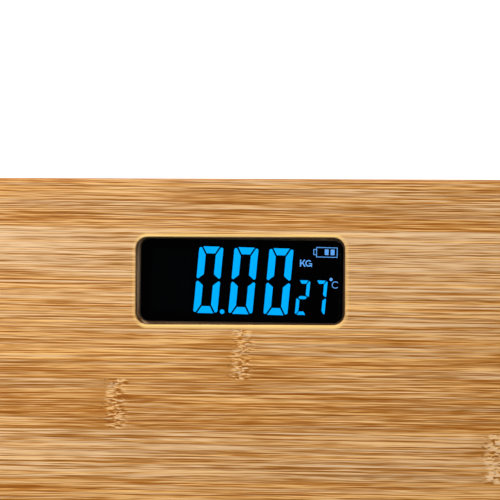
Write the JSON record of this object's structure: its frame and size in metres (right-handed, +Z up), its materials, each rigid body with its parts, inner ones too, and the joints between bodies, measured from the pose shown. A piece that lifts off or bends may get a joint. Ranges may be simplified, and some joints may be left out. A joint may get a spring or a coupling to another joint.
{
  "type": "digital bathroom scale",
  "caption": "Square laminated bamboo bathroom scale with a sunken digital display window, load-cell feet, a battery bay and a unit button beneath.",
  "frame": {"origin": "on the floor, under the platform's centre", "axes": "+Z up, +Y towards the display's edge of the platform, +X to the right of a user who reads the display"},
  "size_m": [0.3, 0.3, 0.023],
  "materials": {
    "bamboo": "laminated bamboo strips, satin lacquer",
    "smoked_window": "smoked, polished",
    "gasket_foam": "beige closed-cell foam",
    "housing_plastic": "moulded, fine texture",
    "display_glass": "clear display cell",
    "polariser_film": "dark film",
    "light_plate": "milky light guide",
    "led_body": "white package with a yellow lens",
    "zebra_rubber": "striped connector rubber",
    "circuit_board": "green solder mask",
    "chip_plastic": "moulded epoxy",
    "component_body": "small ceramic and metal parts",
    "plunger_plastic": "moulded",
    "button_plastic": "grey, moulded",
    "underside_plastic": "black, spark-eroded texture",
    "cell_jacket": "shrink film over a cell, ends bare steel",
    "contact_steel": "nickel plated",
    "lead_insulation": "flexible insulation",
    "screw_steel": "zinc plated",
    "load_cell_steel": "ground plate",
    "gauge_film": "amber film with a foil grid",
    "foot_plastic": "black, moulded",
    "pad_rubber": "soft, matt, with grip rings"
  },
  "bodies": {
    "root": {"platform": "bamboo", "display_window": "smoked_window", "window_gasket": "gasket_foam", "module_case": "housing_plastic", "lcd_glass": "display_glass", "lcd_polarisers": "polariser_film", "light_guide": "light_plate", "backlight_leds": "led_body", "zebra_strip_front": "zebra_rubber", "zebra_strip_rear": "zebra_rubber", "main_pcb": "circuit_board", "controller_chip": "chip_plastic", "pcb_parts": "component_body", "tact_switch": "chip_plastic", "module_base": "underside_plastic", "battery_a": "cell_jacket", "battery_b": "cell_jacket", "contact_spring_left": "contact_steel", "contact_plate_left": "contact_steel", "contact_bridge": "contact_steel", "battery_leads": "lead_insulation", "base_screws": "screw_steel", "foot_screws": "screw_steel", "foot_bracket_front_left": "underside_plastic", "foot_bracket_front_right": "underside_plastic", "foot_bracket_rear_left": "underside_plastic", "foot_bracket_rear_right": "underside_plastic", "load_cell_front_left": "load_cell_steel", "load_cell_front_right": "load_cell_steel", "load_cell_rear_left": "load_cell_steel", "load_cell_rear_right": "load_cell_steel", "strain_gauge_front_left": "gauge_film", "strain_gauge_front_right": "gauge_film", "strain_gauge_rear_left": "gauge_film", "strain_gauge_rear_right": "gauge_film", "sensor_leads_front_left": "lead_insulation", "sensor_leads_front_right": "lead_insulation", "sensor_leads_rear_left": "lead_insulation", "sensor_leads_rear_right": "lead_insulation", "wire_cover_front_left": "underside_plastic", "wire_cover_front_right": "underside_plastic", "wire_cover_rear_left": "underside_plastic", "wire_cover_rear_right": "underside_plastic"},
    "foot_front_left": {"foot_front_left": "foot_plastic", "foot_pad_front_left": "pad_rubber"},
    "foot_front_right": {"foot_front_right": "foot_plastic", "foot_pad_front_right": "pad_rubber"},
    "foot_rear_left": {"foot_rear_left": "foot_plastic", "foot_pad_rear_left": "pad_rubber"},
    "foot_rear_right": {"foot_rear_right": "foot_plastic", "foot_pad_rear_right": "pad_rubber"},
    "unit_button": {"unit_button": "button_plastic", "switch_plunger": "plunger_plastic"},
    "battery_door": {"battery_door": "underside_plastic"}
  },
  "joints": [
    {"name": "foot_travel_front_left", "type": "slide", "parent": "root", "child": "foot_front_left", "axis": [0, 0, 1], "range_m": [0, 0.0006], "stiffness_N_per_m": 2500, "springref_m": -0.004, "deforming": ["load_cell_front_left"]},
    {"name": "foot_travel_front_right", "type": "slide", "parent": "root", "child": "foot_front_right", "axis": [0, 0, 1], "range_m": [0, 0.0006], "stiffness_N_per_m": 2500, "springref_m": -0.004, "deforming": ["load_cell_front_right"]},
    {"name": "foot_travel_rear_left", "type": "slide", "parent": "root", "child": "foot_rear_left", "axis": [0, 0, 1], "range_m": [0, 0.0006], "stiffness_N_per_m": 2500, "springref_m": -0.004, "deforming": ["load_cell_rear_left"]},
    {"name": "foot_travel_rear_right", "type": "slide", "parent": "root", "child": "foot_rear_right", "axis": [0, 0, 1], "range_m": [0, 0.0006], "stiffness_N_per_m": 2500, "springref_m": -0.004, "deforming": ["load_cell_rear_right"]},
    {"name": "unit_button_press", "type": "slide", "parent": "root", "child": "unit_button", "axis": [0, 0, 1], "range_m": [0, 0.0003], "stiffness_N_per_m": 2000, "springref_m": -0.0005},
    {"name": "battery_door_hinge", "type": "hinge", "parent": "root", "child": "battery_door", "pos_m": [0, 0.0861, 0.007], "axis": [1, 0, 0], "range_deg": [0, 95]}
  ]
}
